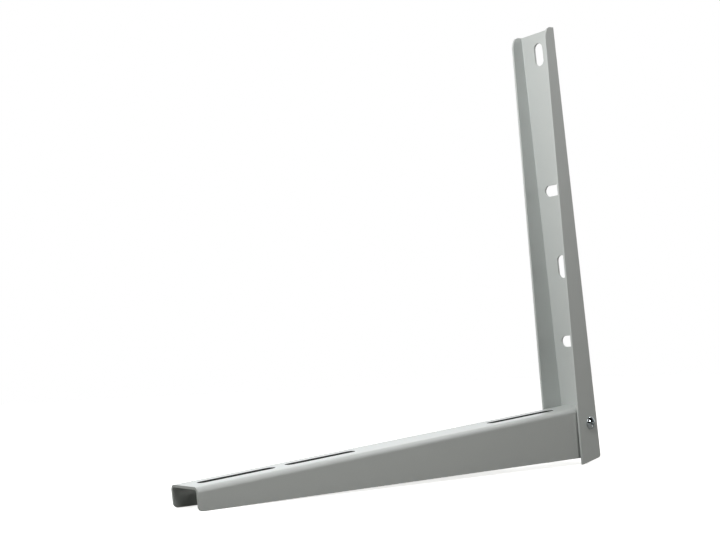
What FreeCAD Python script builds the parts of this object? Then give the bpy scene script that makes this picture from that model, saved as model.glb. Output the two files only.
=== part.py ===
import FreeCAD, Part
import math
import os

# One wall bracket for the outdoor unit of an air conditioner: an L of two folded steel channels.
# The upright is screwed to the wall. The arm sits between the upright's flanges and carries the unit.
# One pan head screw on each side, with a spring washer and a nut inside the arm, holds the two together.
#
# Frame: the wall is the plane y = 0, the unit's feet rest on the plane z = 0, and x = 0 is the middle.
# The arm points along -Y and the upright rises along +Z. All sizes are in millimetres.

os.makedirs("parts", exist_ok=True)
Vec = FreeCAD.Vector

# Sheet and its folds
sheet_t = 2.0            # thickness of the steel sheet
arm_bend_r = 2.5         # inside radius of the arm's two folds
upright_bend_r = 1.0     # inside radius of the upright's two folds
cut_over = 5.0           # how far a cutting tool passes the faces that it cuts

# Arm
arm_length = 450.0       # from the wall plane to the tip
arm_width = 40.0         # over the outside of its two flanges
arm_depth_tip = 18.0     # height of the side at the tip
arm_depth_wall = 50.0    # height of the side where it meets the wall plane
arm_close_deg = 1.5      # how far the arm's sides close in below, past a right angle
arm_tip_corner_r = 7.0   # rounding of the lower corner at the tip

# Slots in the top of the arm, for the bolts of the unit's feet
foot_slot_width = 9.5
foot_slot_length = 70.0  # each of the two slots near the tip
foot_slot_from_tip = 12.0
foot_slot_bridge = 11.0  # steel left between those two
rear_slot_length = 88.0
rear_slot_from_wall = 40.0

# Upright
side_clearance = 0.5     # between the arm's side and the upright's flange, at the fold
seat_clearance = 0.1     # between the arm's rear corners and the inside of the upright's folds
upright_height = 430.0
upright_below = 54.0     # lowest corner of the upright under the arm's top face
flange_depth_top = 15.0
flange_depth_bottom = 30.0
flange_open_deg = 1.5    # how far each flange stands open past a right angle
top_cut_depth = 4.5      # each flange's top corner is cut away by this much of its top edge
top_cut_height = 8.0     # and by this much of its free edge
top_cut_r = 14.0         # rounding from the free edge into the cut
top_cut_end_r = 7.0      # rounding from the cut into the top edge
bottom_rise_deg = 6.5    # the bottom edge rises towards the wall by this angle
bottom_corner_r = 6.0    # rounding of the bottom edge up to the web's end

# Slots in the upright's web, for the wall bolts, their centres measured from the upright's top
wall_slot_width = 11.0
wall_slot_length = 23.0
upright_slots_from_top = (22.0, 237.0)
level_slots_from_top = (160.0, 312.0)

# Screws that hold the arm, with their nuts and spring washers (M6)
screw_from_wall = 12.5
screw_under_top = 16.0
screw_r = 3.0
screw_hole_r = 3.3
thread_fit = 0.02        # room round the screw in its nut
screw_past_nut = 1.5
screw_end_chamfer = 0.6
head_r = 6.0
head_height = 3.4
head_rim = 1.1           # straight side of the head, below its dome
recess_span = 7.0        # cross recess, over two opposite wings at the top
recess_wing = 1.9
recess_depth = 2.4
recess_taper = 0.5       # size at the bottom of the recess, as a share of the top
washer_r = 5.9
washer_bore_r = 3.1
washer_t = 1.6
washer_gap = 0.9         # slit of the spring washer
washer_slit_deg = 25.0
nut_sides = 6
nut_flats = 10.0
nut_height = 5.2
nut_chamfer_deg = 30.0
nut_face_share = 0.95    # the flat face inside the chamfer, as a share of the size over flats
nut_mouth = 0.4          # chamfer at each end of the thread

# Worked out from the sizes above
upright_above = upright_height - upright_below
upright_width = arm_width + 2 * side_clearance + 2 * sheet_t
upright_web_half = upright_width / 2 - upright_bend_r - sheet_t
flange_angle = math.radians(flange_open_deg)
arm_angle = -math.radians(arm_close_deg)
bottom_rise = flange_depth_bottom * math.tan(math.radians(bottom_rise_deg))
web_end_z = -upright_below + bottom_rise + bottom_corner_r


def arm_rear_y():
    """Rear edge of the arm: its outer corners stop just short of the inside of the upright's folds."""
    into_fold = max(upright_bend_r - side_clearance, 0.0)
    return -sheet_t - upright_bend_r + math.sqrt(upright_bend_r**2 - into_fold**2) - seat_clearance


def rounded_outline(corners):
    """Closed wire through (point, radius) corners, each corner with a radius replaced by a tangent arc."""
    count = len(corners)
    starts, ends, middles = [], [], []
    for i, (point, radius) in enumerate(corners):
        to_last = (corners[i - 1][0] - point).normalize()
        to_next = (corners[(i + 1) % count][0] - point).normalize()
        half = to_last.getAngle(to_next) / 2
        inwards = (to_last + to_next).normalize()
        starts.append(point + to_last * (radius / math.tan(half)))
        ends.append(point + to_next * (radius / math.tan(half)))
        middles.append(point + inwards * (radius / math.sin(half) - radius))
    edges = []
    for i, (point, radius) in enumerate(corners):
        if radius > 0:
            edges.append(Part.Arc(starts[i], middles[i], ends[i]).toShape())
        edges.append(Part.LineSegment(ends[i], starts[(i + 1) % count]).toShape())
    return Part.Wire(edges)


def side_plate(corners, half_width):
    """Solid with the given outline in the YZ plane, reaching half_width to each side of x = 0."""
    outline = rounded_outline([(Vec(-half_width, y, z), radius) for y, z, radius in corners])
    return Part.Face(outline).extrude(Vec(2 * half_width, 0, 0))


def channel_section(width, leg, bend_r, opening, place):
    """Face of a folded U: width over the folds, legs of the given length, opened past square by an angle.

    place turns (across, deep) into a point: across runs over the web and deep along the legs.
    """
    bend_out_r = bend_r + sheet_t
    fold_across = width / 2 - bend_out_r
    fold_normal = (math.cos(opening), -math.sin(opening))
    leg_way = (math.sin(opening), math.cos(opening))
    fold_middle = (math.sin((math.pi / 2 - opening) / 2), -math.cos((math.pi / 2 - opening) / 2))

    def on_fold(radius, way, along=0.0):
        across = fold_across + radius * way[0] + along * leg_way[0]
        deep = bend_out_r + radius * way[1] + along * leg_way[1]
        return across, deep

    half = [(fold_across, 0.0), on_fold(bend_out_r, fold_middle), on_fold(bend_out_r, fold_normal),
            on_fold(bend_out_r, fold_normal, leg), on_fold(bend_r, fold_normal, leg),
            on_fold(bend_r, fold_normal), on_fold(bend_r, fold_middle), (fold_across, sheet_t)]
    edges = []
    for side in (1, -1):
        p = [place(side * across, deep) for across, deep in half]
        edges.append(Part.Arc(p[0], p[1], p[2]).toShape())
        edges.append(Part.LineSegment(p[2], p[3]).toShape())
        edges.append(Part.LineSegment(p[3], p[4]).toShape())
        edges.append(Part.LineSegment(p[4], p[5]).toShape())
        edges.append(Part.Arc(p[5], p[6], p[7]).toShape())
    for deep in (0.0, sheet_t):
        edges.append(Part.LineSegment(place(-fold_across, deep), place(fold_across, deep)).toShape())
    return Part.Face(Part.Wire(Part.__sortEdges__(edges)))


def slot_cutter(centre, length_way, width_way, length, width, through):
    """Solid of a round-ended slot about a centre, as deep as the vector through, both ways."""
    straight = (length - width) / 2
    a, b = Vec(length_way) * straight, Vec(width_way) * (width / 2)
    tip = Vec(length_way) * (length / 2)
    edges = [Part.LineSegment(-a + b, a + b).toShape(),
             Part.Arc(a + b, tip, a - b).toShape(),
             Part.LineSegment(a - b, -a - b).toShape(),
             Part.Arc(-a - b, -tip, -a + b).toShape()]
    face = Part.Face(Part.Wire(edges))
    face.translate(centre - Vec(through))
    return face.extrude(Vec(through) * 2)


def screw_holes():
    """Tools for the four holes of the two screws, on one line across the bracket."""
    reach = upright_width + 2 * cut_over
    start = Vec(-reach / 2, -screw_from_wall, -screw_under_top)
    return Part.makeCylinder(screw_hole_r, reach, start, Vec(1, 0, 0))


def make_upright():
    """Channel against the wall: web flat on it, tapered flanges, slots for the wall bolts."""
    leg = flange_depth_bottom + flange_depth_top
    section = channel_section(upright_width, leg, upright_bend_r, flange_angle,
                              lambda x, deep: Vec(x, -deep, -upright_below))
    channel = section.extrude(Vec(0, 0, upright_height))
    cut_share = top_cut_height / upright_height
    cut_start = flange_depth_top + (flange_depth_bottom - flange_depth_top) * cut_share
    outline = side_plate([(0, upright_above, 0),
                          (-flange_depth_top + top_cut_depth, upright_above, top_cut_end_r),
                          (-cut_start, upright_above - top_cut_height, top_cut_r),
                          (-flange_depth_bottom, -upright_below, 0),
                          (0, -upright_below + bottom_rise, bottom_corner_r)],
                         upright_width)
    shape = channel.common(outline)
    web_end = Part.makeBox(2 * upright_web_half, sheet_t + cut_over, web_end_z + upright_below + cut_over,
                           Vec(-upright_web_half, -sheet_t, -upright_below - cut_over))
    cutters = [web_end, screw_holes()]
    through = Vec(0, sheet_t + cut_over, 0)
    for from_top in upright_slots_from_top:
        cutters.append(slot_cutter(Vec(0, 0, upright_above - from_top), (0, 0, 1), (1, 0, 0),
                                   wall_slot_length, wall_slot_width, through))
    for from_top in level_slots_from_top:
        cutters.append(slot_cutter(Vec(0, 0, upright_above - from_top), (1, 0, 0), (0, 0, 1),
                                   wall_slot_length, wall_slot_width, through))
    return shape.cut(cutters)


def make_arm():
    """Channel open below: flat top for the unit's feet, sides that close in and deepen towards the wall."""
    rear = arm_rear_y()
    leg = 2 * arm_depth_wall
    section = channel_section(arm_width, leg, arm_bend_r, arm_angle, lambda x, deep: Vec(x, -arm_length, -deep))
    channel = section.extrude(Vec(0, rear + arm_length, 0))
    outline = side_plate([(-arm_length, 0, 0),
                          (-arm_length, -arm_depth_tip, arm_tip_corner_r),
                          (0, -arm_depth_wall, 0),
                          (0, 0, 0)],
                         arm_width)
    first = -arm_length + foot_slot_from_tip + foot_slot_length / 2
    slots = [(first, foot_slot_length),
             (first + foot_slot_length + foot_slot_bridge, foot_slot_length),
             (-rear_slot_from_wall - rear_slot_length / 2, rear_slot_length)]
    cutters = [screw_holes()]
    for y, length in slots:
        cutters.append(slot_cutter(Vec(0, y, 0), (0, 1, 0), (1, 0, 0),
                                   length, foot_slot_width, Vec(0, 0, sheet_t + cut_over)))
    return channel.common(outline).cut(cutters)


def turned(edges):
    """Solid turned about the X axis from the edges of a closed half section in the XY plane."""
    return Part.Face(Part.Wire(edges)).revolve(Vec(0, 0, 0), Vec(1, 0, 0), 360)


def turned_corners(corners):
    """The same from (x, radius) corners joined by straight lines."""
    points = [Vec(x, radius, 0) for x, radius in corners + corners[:1]]
    return turned(Part.makePolygon(points).Edges)


def recess_wings(turn):
    """Two opposite wings of the cross recess, narrowing with depth, turned about the screw's axis."""
    wires = []
    for x in (head_height + cut_over, head_height - recess_depth):
        share = 1 - (1 - recess_taper) * (head_height - x) / recess_depth
        wide, thick = share * recess_span / 2, share * recess_wing / 2
        corners = [Vec(x, -wide, -thick), Vec(x, wide, -thick), Vec(x, wide, thick), Vec(x, -wide, thick)]
        wires.append(Part.makePolygon(corners + corners[:1]))
    wings = Part.makeLoft(wires, True)
    wings.rotate(Vec(0, 0, 0), Vec(1, 0, 0), turn)
    return wings


def make_screw(shank_length):
    """Pan head screw along X: underside of the head at x = 0, head towards +X, shank towards -X."""
    rise = head_height - head_rim
    dome_r = (head_r**2 + rise**2) / (2 * rise)
    half_way = math.asin(head_r / dome_r) / 2
    top, rim = Vec(head_height, 0, 0), Vec(head_rim, head_r, 0)
    over_dome = top + Vec(math.cos(half_way) - 1, math.sin(half_way), 0) * dome_r
    corners = [rim, Vec(0, head_r, 0), Vec(0, screw_r, 0),
               Vec(-shank_length + screw_end_chamfer, screw_r, 0),
               Vec(-shank_length, screw_r - screw_end_chamfer, 0),
               Vec(-shank_length, 0, 0), top]
    edges = [Part.LineSegment(a, b).toShape() for a, b in zip(corners, corners[1:])]
    edges.append(Part.Arc(top, over_dome, rim).toShape())
    return turned(edges).cut([recess_wings(0), recess_wings(90)])


def make_nut():
    """Hexagon nut along X, its seat at x = 0 and its body towards -X, chamfered at both ends."""
    turn = 2 * math.pi / nut_sides
    corner_r = nut_flats / 2 / math.cos(turn / 2)
    face_r = nut_flats * nut_face_share / 2
    slope = (corner_r - face_r) * math.tan(math.radians(nut_chamfer_deg))
    points = [Vec(0, math.cos(turn * i), math.sin(turn * i)) * corner_r for i in range(nut_sides + 1)]
    prism = Part.Face(Part.makePolygon(points)).extrude(Vec(-nut_height, 0, 0))
    blank = turned_corners([(0, 0), (0, face_r), (-slope, corner_r), (slope - nut_height, corner_r),
                            (-nut_height, face_r), (-nut_height, 0)])
    bore_r = screw_r + thread_fit
    mouth_r = bore_r + nut_mouth + cut_over
    bore = turned_corners([(cut_over, 0), (cut_over, mouth_r), (-nut_mouth, bore_r),
                           (nut_mouth - nut_height, bore_r), (-nut_height - cut_over, mouth_r),
                           (-nut_height - cut_over, 0)])
    return prism.common(blank).cut(bore)


def make_spring_washer():
    """Split ring along X, its seat at x = 0 and its body towards -X, pressed flat by the nut."""
    ring = turned_corners([(0, washer_bore_r), (0, washer_r), (-washer_t, washer_r), (-washer_t, washer_bore_r)])
    middle = Vec(-washer_t / 2, 0, 0)
    corner = middle - Vec(washer_t / 2 + cut_over, washer_gap / 2, 0)
    slit = Part.makeBox(washer_t + 2 * cut_over, washer_gap, washer_r + cut_over, corner)
    slit.rotate(middle, Vec(0, 0, 1), washer_slit_deg)
    return ring.cut(slit)


def leg_face_x(width, bend_r, opening, in_from_outside, deep):
    """How far a face of a channel's leg lies from the middle at a depth; 0 from outside is the outer face."""
    bend_out_r = bend_r + sheet_t
    radius = bend_out_r - in_from_outside
    along = (deep - bend_out_r + radius * math.sin(opening)) / math.cos(opening)
    return width / 2 - bend_out_r + radius * math.cos(opening) + along * math.sin(opening)


def placed(shape, x, side):
    """Copy moved out to x on the screws' line, and turned to the other side for side = -1."""
    copy = shape.copy()
    copy.translate(Vec(x, -screw_from_wall, -screw_under_top))
    if side < 0:
        copy.rotate(Vec(0, -screw_from_wall, 0), Vec(0, 0, 1), 180)
    return copy


def export(name, shape):
    """Write one piece to its own file and print what it measures."""
    shape.exportStep(os.path.join("parts", name + ".step"))
    print(name, len(shape.Solids), shape.isValid(), round(shape.Volume, 1), shape.BoundBox)


head_seat_x = leg_face_x(upright_width, upright_bend_r, flange_angle, 0, screw_from_wall + head_r)
washer_seat_x = leg_face_x(arm_width, arm_bend_r, arm_angle, sheet_t, screw_under_top + washer_r)
nut_seat_x = washer_seat_x - washer_t
screw_end_x = nut_seat_x - nut_height - screw_past_nut

export("upright", make_upright())
export("arm", make_arm())
screw = make_screw(head_seat_x - screw_end_x)
washer = make_spring_washer()
nut = make_nut()
for side_name, side in (("right", 1), ("left", -1)):
    export("screw_" + side_name, placed(screw, head_seat_x, side))
    export("spring_washer_" + side_name, placed(washer, washer_seat_x, side))
    export("nut_" + side_name, placed(nut, nut_seat_x, side))
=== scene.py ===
# %% [markdown]
# # A wall bracket for the outdoor unit of an air conditioner
#
# The real bracket is an L of two folded steel channels. The upright is screwed to the wall, and the arm
# sits between the upright's flanges and carries the unit's feet. A pan head screw on each side, with a
# spring washer and a nut inside the arm, holds the two together.
#
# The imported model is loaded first, as a fixed frame: every piece made here stands where its node stands.

# %% Load the frame
import math
import bmesh
import bpy
from mathutils import Euler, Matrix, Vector


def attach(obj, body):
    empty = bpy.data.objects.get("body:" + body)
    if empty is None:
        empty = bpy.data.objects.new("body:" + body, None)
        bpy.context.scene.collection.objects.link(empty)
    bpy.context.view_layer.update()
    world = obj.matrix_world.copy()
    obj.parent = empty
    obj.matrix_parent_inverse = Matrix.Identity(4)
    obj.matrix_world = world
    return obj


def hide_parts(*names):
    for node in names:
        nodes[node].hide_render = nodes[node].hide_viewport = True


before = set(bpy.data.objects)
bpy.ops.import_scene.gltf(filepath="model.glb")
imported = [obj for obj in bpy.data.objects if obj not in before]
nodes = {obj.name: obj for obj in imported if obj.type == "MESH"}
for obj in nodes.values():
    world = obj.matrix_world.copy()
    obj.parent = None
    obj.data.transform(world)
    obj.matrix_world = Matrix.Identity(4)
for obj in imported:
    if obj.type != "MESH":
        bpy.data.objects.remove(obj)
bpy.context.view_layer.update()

print("nodes:", ", ".join(sorted(nodes)))

# %% [markdown]
# ## Sizes
#
# A sheet metal worker reads these from the drawing. They are the real sizes in millimetres, so one factor
# turns them into Blender's metres. The wall is the plane y = 0, the unit's feet rest on the plane z = 0,
# and x = 0 is the middle of the bracket. A fold's radius is that of its outer face: the radius inside, plus
# the sheet.

# %% Real sizes
mm = 0.001
sheet_t = 2 * mm
sheet_edge_r = 0.2 * mm
arm_fold_r = 2.5 * mm + sheet_t
upright_fold_r = 1 * mm + sheet_t

arm_width = 40 * mm
arm_tip_y = -450 * mm
arm_rear_y = -2.234 * mm
arm_depth_tip = 18 * mm
arm_depth_wall = 50 * mm
arm_tip_corner_r = 4 * mm
arm_close = math.radians(1.5)

foot_slot_width = 9.5 * mm
foot_slots = ((-403 * mm, 70 * mm), (-322 * mm, 70 * mm), (-84 * mm, 88 * mm))

upright_web_half = 19.5 * mm
upright_top = 376 * mm
upright_bottom = -54 * mm
flange_depth_top = 15 * mm
flange_depth_bottom = 30 * mm
flange_open = math.radians(1.5)
top_cut_depth = 4.5 * mm
top_cut_height = 8 * mm
top_cut_r = 14 * mm
top_cut_end_r = 7 * mm
bottom_rise = flange_depth_bottom * math.tan(math.radians(6.5))
bottom_corner_r = 6 * mm
web_end_z = upright_bottom + bottom_rise + bottom_corner_r

wall_slot_width = 11 * mm
wall_slot_length = 23 * mm
upright_slots_z = (354 * mm, 139 * mm)
level_slots_z = (216 * mm, 64 * mm)

screw_y = -12.5 * mm
screw_z = -16 * mm
screw_hole_r = 3.3 * mm
screw_r = 3 * mm
screw_pitch = 1 * mm
thread_depth = 0.6 * mm
thread_root = 0.22 * mm
thread_flank = 0.22 * mm
screw_end_chamfer = 0.6 * mm
head_seat_x = 22.907 * mm
screw_end_x = 9.245 * mm
head_r = 6 * mm
head_height = 3.4 * mm
head_rim = 1.1 * mm
head_shoulder = 0.25 * mm
head_chamfer = 0.15 * mm
head_edge_r = 0.1 * mm
head_overlap = 0.3 * mm
dome_flat_r = 0.3 * mm
dome_share = 0.965
recess_span = 7 * mm
recess_wing = 1.9 * mm
recess_depth = 2.4 * mm
recess_floor_share = 0.5

washer_seat_x = 17.545 * mm
washer_r = 5.9 * mm
washer_bore_r = 3.1 * mm
washer_t = 1.6 * mm
washer_gap = 0.9 * mm
washer_slit = math.radians(25)
washer_edge_r = 0.15 * mm
nut_seat_x = washer_seat_x - washer_t
nut_flats = 10 * mm
nut_height = 5.2 * mm
nut_face_r = 4.75 * mm
nut_chamfer = math.radians(30)
nut_bore_r = 3.02 * mm
nut_mouth = 0.4 * mm
nut_edge_r = 0.12 * mm
print("arm", round((arm_rear_y - arm_tip_y) / mm, 1), "mm long, upright",
      round((upright_top - upright_bottom) / mm, 1), "mm high")

# %% [markdown]
# ## Small helpers
#
# Everything is modelled in edit mode with operators, as by hand. An operator works on what is selected, and
# loading leaves the frame's nodes selected, so each piece starts by letting go of everything. What would be
# picked with the mouse is picked here by its place.
#
# Places less than tiny apart count as the same, and points less than a hair apart are merged. A blank is
# longer by spare than the piece that is cut from it. Two faces meet at a sharp edge when they turn by more
# than sharp_turn. The last numbers say how many flat steps stand for a curve: enough for a close look at this
# size, and no more.

# %% Helpers for modelling
X, Y, Z = range(3)
tiny = 0.01 * mm
hair = tiny / 10
spare = 20 * mm
sharp_turn = math.radians(32)
fold_steps = 12
corner_steps = 12
slot_end_steps = 14
dome_steps = 9
thread_steps = 28
hole_sides = 40
turned_sides = 56


def alone(piece):
    """Leave edit mode, and select this piece and nothing else."""
    if bpy.context.mode != "OBJECT":
        bpy.ops.object.mode_set(mode="OBJECT")
    bpy.ops.object.select_all(action="DESELECT")
    piece.select_set(True)
    bpy.context.view_layer.objects.active = piece


def start(name, add, **settings):
    """Add a primitive with nothing else selected, and give it its name."""
    if bpy.context.mode != "OBJECT":
        bpy.ops.object.mode_set(mode="OBJECT")
    bpy.ops.object.select_all(action="DESELECT")
    add(**settings)
    piece = bpy.context.object
    piece.name = piece.data.name = name
    return piece


def settle(piece):
    """Put the piece's place, turn and scale into its mesh, so that its object sits at the origin."""
    alone(piece)
    bpy.ops.object.transform_apply(location=True, rotation=True, scale=True)


def work_on(piece):
    """Enter edit mode on this piece, with all of it selected."""
    alone(piece)
    bpy.ops.object.mode_set(mode="EDIT")
    bpy.ops.mesh.select_all(action="SELECT")


def face_outwards():
    """Turn all faces outwards, and leave edit mode."""
    bpy.ops.mesh.select_all(action="SELECT")
    bpy.ops.mesh.normals_make_consistent(inside=False)
    bpy.ops.object.mode_set(mode="OBJECT")


def pick(kind, test):
    """In edit mode, select and count the vertices, edges or faces whose middle passes the test."""
    bpy.ops.mesh.select_mode(type=kind)
    bpy.ops.mesh.select_all(action="DESELECT")
    mesh = bmesh.from_edit_mesh(bpy.context.object.data)
    if kind == "VERT":
        found = [(v, v.co) for v in mesh.verts]
    elif kind == "EDGE":
        found = [(e, (e.verts[0].co + e.verts[1].co) / 2) for e in mesh.edges]
    else:
        found = [(f, f.calc_center_median()) for f in mesh.faces]
    count = 0
    for item, middle in found:
        if test(middle):
            item.select_set(True)
            count += 1
    mesh.select_flush_mode()
    bmesh.update_edit_mesh(bpy.context.object.data)
    return count


def modify(piece, kind, **settings):
    """Add a modifier with its settings and apply it."""
    alone(piece)
    modifier = piece.modifiers.new(kind.title(), kind)
    for key, value in settings.items():
        setattr(modifier, key, value)
    bpy.ops.object.modifier_apply(modifier=modifier.name)


def cut(piece, tool, operation="DIFFERENCE"):
    """Cut the piece with a closed tool, then throw the tool away."""
    modify(piece, "BOOLEAN", operation=operation, solver="EXACT", object=tool)
    bpy.data.objects.remove(tool, do_unlink=True)


def round_edges(piece, width, steps=3):
    """Round every sharp edge a little, and let the large flat faces keep their shading flat."""
    modify(piece, "BEVEL", width=width, segments=steps, limit_method="ANGLE", angle_limit=sharp_turn,
           harden_normals=False)
    alone(piece)
    bpy.ops.object.shade_smooth()
    modify(piece, "WEIGHTED_NORMAL", mode="FACE_AREA_WITH_ANGLE", weight=100, keep_sharp=False)


def measure(piece):
    """Print a piece's corners, its faces, its volume, and how many of its edges don't join two faces."""
    low = [min(v.co[axis] for v in piece.data.vertices) / mm for axis in (X, Y, Z)]
    high = [max(v.co[axis] for v in piece.data.vertices) / mm for axis in (X, Y, Z)]
    mesh = bmesh.new()
    mesh.from_mesh(piece.data)
    open_edges = sum(len(edge.link_faces) != 2 for edge in mesh.edges)
    print(piece.name, [round(v, 2) for v in low], [round(v, 2) for v in high], len(mesh.faces), "faces,",
          round(mesh.calc_volume() / mm ** 3, 1), "mm3,", open_edges, "open edges")
    mesh.free()


# %% [markdown]
# ## Tools that cut
#
# On the real part the slots and holes are punched from the flat sheet. Here they are cut after the folding,
# which leaves a simpler mesh to fold. A slot's punch is a bar with two half-round ends: a cube with its four
# edges along the punch bevelled by half its width. The screw holes take a cylinder.

# %% Punches
punch_length = 8 * sheet_t


def slot_punch(centre, along, through, length, width):
    """A bar with round ends about centre, its length along one axis and its depth along another."""
    across = X + Y + Z - along - through
    size = [0.0, 0.0, 0.0]
    size[along], size[across], size[through] = length, width, punch_length
    punch = start("punch", bpy.ops.mesh.primitive_cube_add, size=1, location=centre)
    punch.scale = size
    settle(punch)
    work_on(punch)
    pick("EDGE", lambda m: abs(m[through] - centre[through]) < tiny)
    bpy.ops.mesh.bevel(offset=width / 2 - hair, segments=slot_end_steps, profile=0.5)
    bpy.ops.object.mode_set(mode="OBJECT")
    return punch


def screw_drill():
    """A cylinder across the bracket, where the two screws go through."""
    return start("drill", bpy.ops.mesh.primitive_cylinder_add, vertices=hole_sides, radius=screw_hole_r,
                 depth=2 * arm_width, location=(0, screw_y, screw_z), rotation=(0, math.pi / 2, 0))


# %% [markdown]
# ## The arm
#
# The real arm is one sheet with both long sides folded down. It could be drawn as a solid and hollowed, but
# following the real fold is simpler: a flat plane gets its two sides by extruding its long edges, a bevel
# turns the two creases into round folds, and the taper is cut with a bisect. The press folds the sides a
# degree and a half too far, so they close in below. Solidify then gives the sheet its thickness inwards, so
# the folds keep their true radii on both faces. The same function folds the upright later.

# %% Fold the arm
def fold_sides(sheet, down, crease_x, depth, lean, fold_back):
    """Fold both long sides down along an axis, leaning outwards by an angle, and stay in edit mode."""
    def at_crease(m):
        return abs(m[down]) < tiny and abs(abs(m.x) - crease_x) < tiny

    for side in (-1, 1):
        work_on(sheet)
        pick("EDGE", lambda m: at_crease(m) and side * m.x > 0)
        move = Vector((side * depth * math.tan(lean), 0, 0))
        move[down] = -depth
        bpy.ops.mesh.extrude_region_move(TRANSFORM_OT_translate={"value": move})
    creases = pick("EDGE", at_crease)
    bpy.ops.mesh.bevel(offset=fold_back, segments=fold_steps, profile=0.5)
    print(sheet.name, "is folded along", creases, "creases")


arm_fold_back = arm_fold_r * math.tan((math.pi / 2 + arm_close) / 2)
arm_crease_x = arm_width / 2 - arm_fold_r + arm_fold_back
arm = start("arm_sheet", bpy.ops.mesh.primitive_plane_add, size=1,
            location=(0, (arm_tip_y + arm_rear_y) / 2, 0))
arm.scale = (2 * arm_crease_x, arm_rear_y - arm_tip_y, 1)
settle(arm)
fold_sides(arm, Z, arm_crease_x, arm_depth_wall + spare, -arm_close, arm_fold_back)

# %% [markdown]
# The arm carries most near the wall, so its sides are deep there and shallow at the tip. One slanting bisect
# takes both sides at once. The tip's lower corners are rounded, so that they don't cut a hand: a vertex bevel
# does that while the sheet has no thickness yet.

# %% Taper the arm's sides and round the corners at the tip
work_on(arm)
bpy.ops.mesh.bisect(plane_co=(0, 0, -arm_depth_wall),
                    plane_no=(0, arm_depth_tip - arm_depth_wall, arm_tip_y), clear_outer=True)
corner_turn = math.pi / 2 - math.atan2(arm_depth_wall - arm_depth_tip, -arm_tip_y)
lower_tips = pick("VERT", lambda m: abs(m.y - arm_tip_y) < tiny and m.z < -arm_depth_tip + tiny)
bpy.ops.mesh.bevel(affect="VERTICES", offset=arm_tip_corner_r * math.tan(corner_turn / 2),
                   segments=corner_steps, profile=0.5)
face_outwards()
print("rounded", lower_tips, "corners at the tip")

# %% [markdown]
# The sheet now gets its 2 mm, inwards. Next come the punches: three long slots for the bolts of the unit's
# feet, and a drill for the screws. The narrow walls of the long slots go into a second material slot, whose
# dark grey is painted shade that stands for the shadow inside the slots. Last, each edge is rounded by a
# fifth of a millimetre, as punched and coated edges are, and catches a thin line of light.

# %% Give the arm its thickness, slots and holes
def in_slot_wall(m):
    """Tell whether the middle of a face lies in the punched wall of a long slot."""
    return (abs(m.z + sheet_t / 2) < tiny and abs(m.x) < foot_slot_width / 2 + tiny
            and arm_tip_y + tiny < m.y < arm_rear_y - tiny)


modify(arm, "SOLIDIFY", thickness=sheet_t, offset=-1, use_even_offset=True)
for slot_y, slot_length in foot_slots:
    cut(arm, slot_punch(Vector((0, slot_y, 0)), Y, Z, slot_length, foot_slot_width))
cut(arm, screw_drill())
alone(arm)
bpy.ops.object.material_slot_add()
bpy.ops.object.material_slot_add()
# The slots' wall faces take the second material, a dark grey of painted shade.
work_on(arm)
wall_faces = pick("FACE", in_slot_wall)
arm.active_material_index = 1
bpy.ops.object.material_slot_assign()
bpy.ops.object.mode_set(mode="OBJECT")
print("arm:", wall_faces, "faces in the slots' walls")
round_edges(arm, sheet_edge_r)
measure(arm)

# %% [markdown]
# ## The upright
#
# The upright is folded the same way, but its flanges stand open by a degree and a half, so its fold turns a
# little less than a right angle and the bevel is a little shorter than the fold's radius. Its side outline
# has a taper, a slanting lower end, and a top corner that is cut away in a long curve. On the real part that
# outline is punched from the flat sheet. Here the folded channel is crossed with a plate of that outline,
# which gives the same edge on both flanges at once.

# %% Fold the upright
upright_fold_back = upright_fold_r * math.tan((math.pi / 2 - flange_open) / 2)
upright_crease_x = upright_web_half + upright_fold_back
upright_height = upright_top - upright_bottom
upright = start("upright_sheet", bpy.ops.mesh.primitive_plane_add, size=1,
                location=(0, 0, (upright_top + upright_bottom) / 2), rotation=(-math.pi / 2, 0, 0))
upright.scale = (2 * upright_crease_x, upright_height + spare, 1)
settle(upright)
fold_sides(upright, Y, upright_crease_x, flange_depth_bottom + spare, flange_open, upright_fold_back)
face_outwards()

# %% [markdown]
# The flanges are deeper below, where the arm sits between them, and their free edge runs slanting to the top.
# The web ends a little higher than the flanges do, so a notch is cut out of its lower end. Two upright and
# two level slots take the wall bolts and leave room to shift the bracket on the wall.

# %% Give the upright its thickness, outline, slots and holes
modify(upright, "SOLIDIFY", thickness=sheet_t, offset=-1, use_even_offset=True)


def side_plate():
    """The upright's outline seen from the side, as a plate across the bracket."""
    plate = start("outline", bpy.ops.mesh.primitive_cube_add, size=1,
                  location=(0, -flange_depth_bottom, upright_top - (upright_height + spare) / 2))
    plate.scale = (4 * upright_web_half, 2 * flange_depth_bottom, upright_height + spare)
    settle(plate)
    work_on(plate)
    top = Vector((0, -flange_depth_top, upright_top))
    bottom = Vector((0, -flange_depth_bottom, upright_bottom))
    wall_top = Vector((0, 0, upright_top))
    wall_end = Vector((0, 0, upright_bottom + bottom_rise))
    cut_end = top + Vector((0, top_cut_depth, 0))
    cut_start = top + (bottom - top) * (top_cut_height / upright_height)
    for first, second in ((wall_end, bottom), (bottom, top), (cut_start, cut_end)):
        edge = (second - first).normalized()
        bpy.ops.mesh.select_all(action="SELECT")
        bpy.ops.mesh.bisect(plane_co=first, plane_no=(0, -edge.z, edge.y), clear_outer=True,
                            use_fill=True)
    found = 0
    for last, corner, following, radius in ((wall_top, cut_end, cut_start, top_cut_end_r),
                                            (cut_end, cut_start, bottom, top_cut_r),
                                            (bottom, wall_end, wall_top, bottom_corner_r)):
        found += pick("EDGE", lambda m: (m - corner).length < tiny)
        turn = math.pi - (last - corner).angle(following - corner)
        bpy.ops.mesh.bevel(offset=radius * math.tan(turn / 2), segments=corner_steps, profile=0.5)
    bpy.ops.object.mode_set(mode="OBJECT")
    print("outline corners rounded:", found)
    return plate


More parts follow.
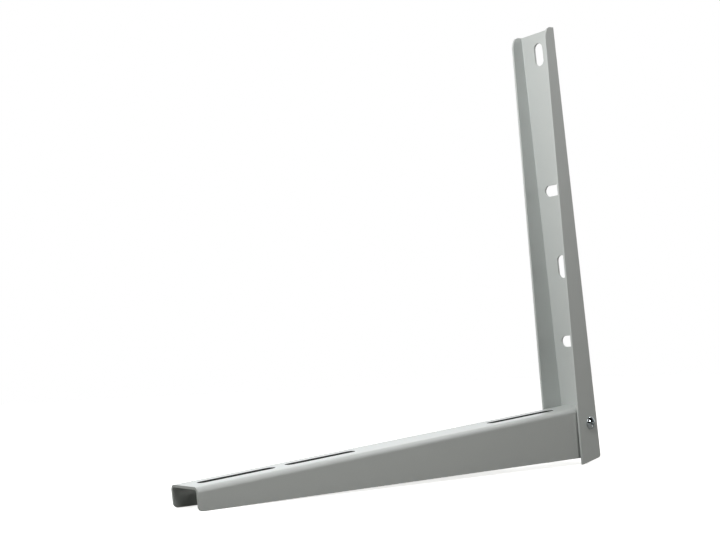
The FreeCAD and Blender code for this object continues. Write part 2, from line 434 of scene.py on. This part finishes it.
cut(upright, side_plate(), "INTERSECT")
notch = start("notch", bpy.ops.mesh.primitive_cube_add, size=1, location=(0, 0, web_end_z - spare))
notch.scale = (2 * upright_web_half, 4 * sheet_t, 2 * spare)
settle(notch)
cut(upright, notch)
for slot_z in upright_slots_z:
    cut(upright, slot_punch(Vector((0, 0, slot_z)), Z, Y, wall_slot_length, wall_slot_width))
for slot_z in level_slots_z:
    cut(upright, slot_punch(Vector((0, 0, slot_z)), X, Y, wall_slot_length, wall_slot_width))
cut(upright, screw_drill())
round_edges(upright, sheet_edge_r)
measure(upright)

# %% [markdown]
# ## The screws
#
# Each screw is cold formed: a bar is upset into a low domed head, a cross is punched into it, and the thread
# is rolled. The round blank could be spun from an outline. Here a ring is extruded along its axis and resized
# at each step, as a lathe tool would follow the outline, and both ends are closed.

# %% Turn a blank from rings
def turned(name, rings):
    """A closed round piece along X from (x, radius) rings."""
    x, radius = rings[0]
    piece = start(name, bpy.ops.mesh.primitive_circle_add, vertices=turned_sides, radius=radius,
                  fill_type="NGON", location=(x, 0, 0), rotation=(0, math.pi / 2, 0))
    settle(piece)
    work_on(piece)
    for next_x, next_radius in rings[1:]:
        bpy.ops.mesh.extrude_region_move(TRANSFORM_OT_translate={"value": (next_x - x, 0, 0)})
        share = next_radius / radius
        bpy.ops.transform.resize(value=(1, share, share), center_override=(next_x, 0, 0))
        x, radius = next_x, next_radius
    face_outwards()
    return piece


def make_head():
    """The low domed head, its underside at x = 0, with a small shoulder between rim and dome."""
    rise = head_height - head_rim
    dome_r = (head_r ** 2 + rise ** 2) / (2 * rise)
    dome_turn = math.asin(head_r / dome_r)
    rings = [(0, head_r - head_chamfer), (head_chamfer, head_r), (head_rim - head_shoulder, head_r)]
    for step in range(dome_steps, -1, -1):
        turn = dome_turn * dome_share * step / dome_steps
        ring_x = head_height - dome_r * (1 - math.cos(turn))
        rings.append((ring_x, max(dome_r * math.sin(turn), dome_flat_r)))
    return turned("head", rings)


# %% [markdown]
# The thread has the 1 mm pitch of a 6 mm metric screw. Its flanks are steeper than metric ones, which stand
# at 60 degrees to each other, and its crests are wider. One turn's outline goes round the axis with a screw
# modifier. Its turns meet edge to edge, so the shank becomes one closed skin after its two ends are cut flat.
# It could stay a plain cylinder, but from below the arm is open, and the thread shows there.

# %% Roll the thread
def make_shank(length):
    """A threaded shank along -X from a little inside the head, with a chamfered end."""
    root_r = screw_r - thread_depth
    outline = [(0, root_r), (thread_root, root_r), (thread_root + thread_flank, screw_r),
               (screw_pitch - thread_flank, screw_r), (screw_pitch, root_r)]
    turns_past_end = 2
    turns_past_head = 1
    turns = math.ceil(length / screw_pitch) + turns_past_end + turns_past_head
    first_x = -(length + turns_past_end * screw_pitch)
    shank = start("shank", bpy.ops.mesh.primitive_circle_add, vertices=3, radius=mm, fill_type="NOTHING")
    work_on(shank)
    bpy.ops.mesh.delete(type="VERT")
    mesh = bmesh.from_edit_mesh(shank.data)
    corners = [mesh.verts.new((x + first_x, radius, 0)) for x, radius in outline]
    for first, second in zip(corners, corners[1:]):
        mesh.edges.new((first, second))
    bmesh.update_edit_mesh(shank.data)
    bpy.ops.object.mode_set(mode="OBJECT")
    modify(shank, "SCREW", axis="X", screw_offset=screw_pitch, iterations=turns, steps=thread_steps,
           render_steps=thread_steps, use_merge_vertices=True, merge_threshold=hair, use_smooth_shade=False)
    work_on(shank)
    bpy.ops.mesh.remove_doubles(threshold=tiny / 2)
    for x, way in ((-length, -1), (head_overlap, 1)):
        bpy.ops.mesh.select_all(action="SELECT")
        bpy.ops.mesh.bisect(plane_co=(x, 0, 0), plane_no=(way, 0, 0), clear_outer=True, use_fill=True)
    face_outwards()
    clear = 0.2 * mm
    cut(shank, turned("blank", [(-length, screw_r - screw_end_chamfer),
                                (-length + screw_end_chamfer + clear, screw_r + clear),
                                (mm, screw_r + clear)]), "INTERSECT")
    return shank


shank = make_shank(head_seat_x - screw_end_x)
measure(shank)

# %% [markdown]
# The cross recess is punched: four wings that narrow with depth. Its punch is a cube for each pair of wings,
# with the lower face made smaller. The head's crisp edges then get a small round, so that they catch the
# light, and last the shank is joined on. The join leaves a few edges with no length, and a merge by distance
# closes them.

# %% Punch the cross
def recess_punch(wide, deep):
    """A bar across the head that gets smaller towards its lower end."""
    punch = start("wing", bpy.ops.mesh.primitive_cube_add, size=1,
                  location=(head_height - recess_depth / 2, 0, 0))
    punch.scale = (recess_depth, wide, deep)
    settle(punch)
    work_on(punch)
    floor_x = head_height - recess_depth
    pick("FACE", lambda m: m.x < floor_x + tiny)
    bpy.ops.transform.resize(value=(1, recess_floor_share, recess_floor_share),
                             center_override=(floor_x, 0, 0))
    pick("FACE", lambda m: m.x > head_height - tiny)
    bpy.ops.mesh.extrude_region_move(TRANSFORM_OT_translate={"value": (mm, 0, 0)})
    bpy.ops.object.mode_set(mode="OBJECT")
    return punch


screw = make_head()
for wide, deep in ((recess_span, recess_wing), (recess_wing, recess_span)):
    cut(screw, recess_punch(wide, deep))
round_edges(screw, head_edge_r, steps=2)
cut(screw, shank, "UNION")
work_on(screw)
bpy.ops.mesh.remove_doubles(threshold=hair)
bpy.ops.object.mode_set(mode="OBJECT")
measure(screw)

# %% [markdown]
# ## The nuts
#
# A nut is forged as a hexagon and turned at both ends, which leaves the curved corners of a chamfer. Here a
# cylinder with six sides is crossed with a turned blank, and the bore is cut with mouths that widen outwards.

# %% Make a nut
nut_corner_r = nut_flats / math.sqrt(3)
nut_slope = (nut_corner_r - nut_face_r) * math.tan(nut_chamfer)
nut = start("nut", bpy.ops.mesh.primitive_cylinder_add, vertices=6, radius=nut_corner_r, depth=nut_height,
            location=(-nut_height / 2, 0, 0), rotation=(0, math.pi / 2, 0))
settle(nut)
cut(nut, turned("blank", [(0, nut_face_r), (-nut_slope, nut_corner_r),
                          (nut_slope - nut_height, nut_corner_r), (-nut_height, nut_face_r)]), "INTERSECT")
past_face_r = nut_bore_r + nut_mouth + mm
cut(nut, turned("bore", [(mm, past_face_r), (-nut_mouth, nut_bore_r), (nut_mouth - nut_height, nut_bore_r),
                         (-nut_height - mm, past_face_r)]))
round_edges(nut, nut_edge_r, steps=2)
measure(nut)

# %% [markdown]
# ## The spring washers
#
# A spring washer is a coil of wire with flat faces, cut off after one turn with a slanting cut. Under the
# tight nut it is pressed flat, so it is made as a flat ring, with a slit cut by a thin tilted bar.

# %% Make a spring washer
washer = turned("washer", [(0, washer_r), (-washer_t, washer_r)])
cut(washer, turned("bore", [(mm, washer_bore_r), (-washer_t - mm, washer_bore_r)]))
slit = start("slit", bpy.ops.mesh.primitive_cube_add, size=1, location=(-washer_t / 2, 0, washer_r),
             rotation=(0, 0, washer_slit))
slit.scale = (4 * washer_t, washer_gap, 2 * washer_r)
settle(slit)
cut(washer, slit)
round_edges(washer, washer_edge_r, steps=2)
measure(washer)

# %% [markdown]
# ## A set of fasteners on each side
#
# The screw goes in from outside and holds the flange against the arm's side. The left set is the right one
# turned half round the upright axis. Each copy gets a mesh of its own.

# %% Place the fasteners
fasteners = []
for side_name, turn in (("right", 0), ("left", math.pi)):
    for made, name, x in ((screw, "screw", head_seat_x), (washer, "spring_washer", washer_seat_x),
                          (nut, "nut", nut_seat_x)):
        copy = made.copy()
        copy.data = made.data.copy()
        copy.name = copy.data.name = f"{name}_{side_name}_made"
        bpy.context.scene.collection.objects.link(copy)
        copy.location = (x * math.cos(turn), screw_y, screw_z)
        copy.rotation_euler = (0, 0, turn)
        settle(copy)
        fasteners.append((copy, f"{name}_{side_name}"))
for made in (screw, washer, nut):
    bpy.data.objects.remove(made, do_unlink=True)
print("placed", len(fasteners), "fasteners")

# %% [markdown]
# ## Finishes
#
# Colours are given as on a screen, in sRGB, while the shader works with linear light, so one function turns
# the one into the other. A noise's scale counts its cells in a metre, so it is worked out from the real size
# of a grain or a patch. Nodes are added by small functions, which keep each finish to a few lines.

# %% Colours and nodes
def linear(code):
    """A hex sRGB colour as the linear colour that the shader wants."""
    values = [int(code[i:i + 2], 16) / 255 for i in (1, 3, 5)]
    return tuple(v / 12.92 if v <= 0.04045 else ((v + 0.055) / 1.055) ** 2.4 for v in values) + (1.0,)


def node(tree, kind, inputs=None, **settings):
    """Add a node, set its settings, and set or link its inputs."""
    made = tree.nodes.new(kind)
    for key, value in settings.items():
        setattr(made, key, value)
    for key, value in (inputs or {}).items():
        if isinstance(value, bpy.types.NodeSocket):
            tree.links.new(value, made.inputs[key])
        else:
            made.inputs[key].default_value = value
    return made


def noise(tree, size, detail, roughness=0.5):
    """Noise with grains or patches of a real size, fixed to the piece itself."""
    place = node(tree, "ShaderNodeTexCoord")
    made = node(tree, "ShaderNodeTexNoise", {"Vector": place.outputs["Object"], "Scale": 1 / size,
                                             "Detail": detail, "Roughness": roughness})
    return made.outputs["Fac"]


def between(tree, share, first, second):
    """A colour that goes from one hex colour to another with a share from 0 to 1."""
    made = node(tree, "ShaderNodeMix", {"Factor": share, "A": linear(first), "B": linear(second)},
                data_type="RGBA")
    return made.outputs["Result"]


def new_material(name):
    """An empty material with its output node."""
    material = bpy.data.materials.new(name)
    material.use_nodes = True
    material.node_tree.nodes.clear()
    return material, node(material.node_tree, "ShaderNodeOutputMaterial")


# %% [markdown]
# The steel is powder coated in a light, slightly greenish grey: a baked polyester skin some 0.08 mm thick.
# It flows out into a satin surface with a faint orange peel, a few millimetres from crest to crest. One flat
# colour would look like plastic, so tint and gloss drift a little over some centimetres, and a very low bump
# gives the peel. The coat bends light as most plastics do. Object coordinates keep the pattern at its real
# size on every piece.

# %% Powder coated steel
coat_ior = 1.5
powder_coat, output = new_material("light grey powder coat")
tree = powder_coat.node_tree
peel = noise(tree, 2.5 * mm, detail=2.0, roughness=0.45)
drift = noise(tree, 40 * mm, detail=3.0)
tint = between(tree, drift, "#C9CDCB", "#CDD1CF")
gloss = node(tree, "ShaderNodeMapRange", {"Value": drift, "To Min": 0.34, "To Max": 0.42})
bump = node(tree, "ShaderNodeBump", {"Height": peel, "Strength": 0.12, "Distance": 0.2 * mm})
paint = node(tree, "ShaderNodeBsdfPrincipled", {"Base Color": tint, "Roughness": gloss.outputs["Result"],
                                                "Normal": bump.outputs["Normal"], "IOR": coat_ior})
tree.links.new(paint.outputs["BSDF"], output.inputs["Surface"])

# %% [markdown]
# The walls of the long slots get painted shade: a dark grey in fine specks, duller than the faces around it,
# stands for the shadow inside the narrow slots and gives the slots a dark line.

# %% Painted shade on the slot walls
painted_slot_shade, output = new_material("dark grey painted as slot shade")
tree = painted_slot_shade.node_tree
specks = noise(tree, 1.1 * mm, detail=3.0)
# The dark grey is painted shade for the shadow inside the narrow slots, not a colour of the coat.
paint = node(tree, "ShaderNodeBsdfPrincipled", {"Base Color": between(tree, specks, "#242423", "#545653"),
                                                "Roughness": 0.55, "IOR": coat_ior})
tree.links.new(paint.outputs["BSDF"], output.inputs["Surface"])
upright.data.materials.append(powder_coat)
for slot, material in zip(arm.material_slots, (powder_coat, painted_slot_shade)):
    slot.material = material

# %% [markdown]
# The fasteners are zinc plated and passivated: a bright metal with a faint blue and straw tinge in patches, a
# little duller where the plating was thick. A plain grey would look like plastic, so it is a metal with its
# roughness and tint in patches of a few millimetres, and fine grains from the bath.

# %% Zinc plated steel
zinc_plate, output = new_material("bright zinc plate")
tree = zinc_plate.node_tree
patches = noise(tree, 3 * mm, detail=3.0)
grains = noise(tree, 0.3 * mm, detail=1.0)
tint = between(tree, patches, "#BECAD6", "#CFCFC8")
gloss = node(tree, "ShaderNodeMapRange", {"Value": patches, "From Min": 0.3, "From Max": 0.7,
                                          "To Min": 0.09, "To Max": 0.18})
bump = node(tree, "ShaderNodeBump", {"Height": grains, "Strength": 0.08, "Distance": 0.05 * mm})
plate = node(tree, "ShaderNodeBsdfPrincipled", {"Base Color": tint, "Metallic": 1.0,
                                                "Roughness": gloss.outputs["Result"],
                                                "Normal": bump.outputs["Normal"]})
tree.links.new(plate.outputs["BSDF"], output.inputs["Surface"])
for piece, name in fasteners:
    piece.data.materials.append(zinc_plate)

# %% [markdown]
# ## Joining the frame
#
# Each piece takes the place of the plain one from the imported model, which is hidden. Nothing moves on
# this bracket, so all of them ride on the root.

# %% Each piece stands for its node
pieces = [(arm, "arm", "powder_coat"), (upright, "upright", "powder_coat")]
pieces += [(piece, name, "zinc_plate") for piece, name in fasteners]
for piece, name, slot in pieces:
    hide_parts(name)
    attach(piece, "root")
print("materials:", ", ".join(m.name for m in (powder_coat, painted_slot_shade, zinc_plate)))

# %% [markdown]
# ## Floor, light and camera
#
# The bracket stands on a pale floor as in the photograph, on the arm's tip and the upright's lower end. The
# bracket can't be moved, so the floor is tilted under it: it turns about the upright's lowest corner up to
# the first point of the arm. A studio floor is white to the camera. Here it sends less light back to the
# bracket than it shows, since its white would light the sides from below.

# %% Floor
heel = Vector((0, -flange_depth_bottom, upright_bottom))
floor_tilt = min(math.atan2(v.co.z - heel.z, heel.y - v.co.y) for v in arm.data.vertices)
floor = start("floor", bpy.ops.mesh.primitive_plane_add, size=8, location=heel,
              rotation=(-floor_tilt, 0, 0))
settle(floor)
white = linear("#F4F4F2")
mirrored_share = 0.06
floor_paint, output = new_material("pale floor")
tree = floor_paint.node_tree
ray = node(tree, "ShaderNodeLightPath")
matt = node(tree, "ShaderNodeBsdfDiffuse", {"Color": white})
glow = node(tree, "ShaderNodeEmission", {"Color": white, "Strength": 0.9})
seen = node(tree, "ShaderNodeAddShader", {0: matt.outputs["BSDF"], 1: glow.outputs["Emission"]})
felt = node(tree, "ShaderNodeBsdfDiffuse", {"Color": linear("#80807C")})
mirrored = node(tree, "ShaderNodeMath", {0: ray.outputs["Is Glossy Ray"], 1: mirrored_share},
                operation="MULTIPLY")
direct = node(tree, "ShaderNodeMath", {0: ray.outputs["Is Camera Ray"], 1: mirrored.outputs["Value"]},
              operation="MAXIMUM")
both = node(tree, "ShaderNodeMixShader", {"Fac": direct.outputs["Value"], 1: felt.outputs["BSDF"],
                                          2: seen.outputs["Shader"]})
tree.links.new(both.outputs["Shader"], output.inputs["Surface"])
floor.data.materials.append(floor_paint)
print("floor tilted by", round(math.degrees(floor_tilt), 2), "degrees")

# %% [markdown]
# The photograph has a large soft light over the arm, a smaller one far out on the screw's side, one behind
# the bracket that draws a bright line along the arm's fold, and white walls around that shine into the shaded
# faces. Area lights stand for the first three. The walls are two wide glows in the world, which are strongest
# in one direction and fade out sideways. The camera sees plain white.

# %% Light
world = bpy.data.worlds.new("studio")
bpy.context.scene.world = world
world.use_nodes = True
tree = world.node_tree
tree.nodes.clear()
way = node(tree, "ShaderNodeTexCoord")


def side_glow(towards, colour, strength, fade=2.0):
    """A wide glow on one side of the room, fading out by a right angle from its middle."""
    along = node(tree, "ShaderNodeVectorMath", {0: way.outputs["Generated"], 1: towards},
                 operation="DOT_PRODUCT")
    facing = node(tree, "ShaderNodeMath", {0: along.outputs["Value"], 1: 0.0}, operation="MAXIMUM")
    spread = node(tree, "ShaderNodeMath", {0: facing.outputs["Value"], 1: fade}, operation="POWER")
    power = node(tree, "ShaderNodeMath", {0: spread.outputs["Value"], 1: strength}, operation="MULTIPLY")
    return node(tree, "ShaderNodeBackground", {"Color": linear(colour), "Strength": power.outputs["Value"]})


backdrop = side_glow((-0.78, 0.62, 0), "#FBFDFF", strength=1.57)
window = side_glow((-0.45, -0.893, 0), "#FFFEFA", strength=0.88)
around = node(tree, "ShaderNodeAddShader", {0: backdrop.outputs["Background"],
                                            1: window.outputs["Background"]})
seen = node(tree, "ShaderNodeBackground", {"Color": (1, 1, 1, 1), "Strength": 1.0})
ray = node(tree, "ShaderNodeLightPath")
both = node(tree, "ShaderNodeMixShader", {"Fac": ray.outputs["Is Camera Ray"], 1: around.outputs["Shader"],
                                          2: seen.outputs["Background"]})
node(tree, "ShaderNodeOutputWorld", {"Surface": both.outputs["Shader"]})


def softbox(name, place, aim, size, power, colour):
    """A square area light at a place, turned to a point."""
    lamp = bpy.data.lights.new(name, "AREA")
    lamp.shape, lamp.size, lamp.energy = "SQUARE", size, power
    lamp.color = linear(colour)[:3]
    holder = bpy.data.objects.new(name, lamp)
    bpy.context.scene.collection.objects.link(holder)
    holder.location = place
    holder.rotation_euler = (Vector(aim) - Vector(place)).to_track_quat("-Z", "Y").to_euler()
    return holder


softbox("key", (0.125, -0.47, 0.52), aim=(0, -0.2, 0.1), size=0.4, power=2.6, colour="#FFFFFF")
softbox("side", (1.117, 0.117, 0.43), aim=(0, 0, 0.1), size=0.2, power=2.5, colour="#FFFCF9")
softbox("back", (0.24, 0.5, 0.78), aim=(0, -0.2, 0), size=0.3, power=1.2, colour="#FFFFFF")
print("lights:", ", ".join(light.name for light in bpy.data.lights))

# %% [markdown]
# The camera's place, turn and lens come from lines measured in the photograph: those of the folded edges, the
# slots and the screw's head were matched with the same lines on the model. Blender takes the lens and the
# sensor in millimetres, and everything else here in metres.

# %% Camera
camera = bpy.data.objects.new("camera", bpy.data.cameras.new("camera"))
bpy.context.scene.collection.objects.link(camera)
bpy.context.scene.camera = camera
camera.data.lens = 55.86
camera.data.sensor_width = 36
camera.data.clip_start = 10 * mm
camera.location = (0.74765, -0.85964, 0.11823)
camera.rotation_euler = Euler([math.radians(degrees) for degrees in (91.9694, 5.9354, 51.5016)])
bpy.context.scene.view_settings.view_transform = "Standard"
print("camera", round(camera.location.length, 3), "m from the origin")
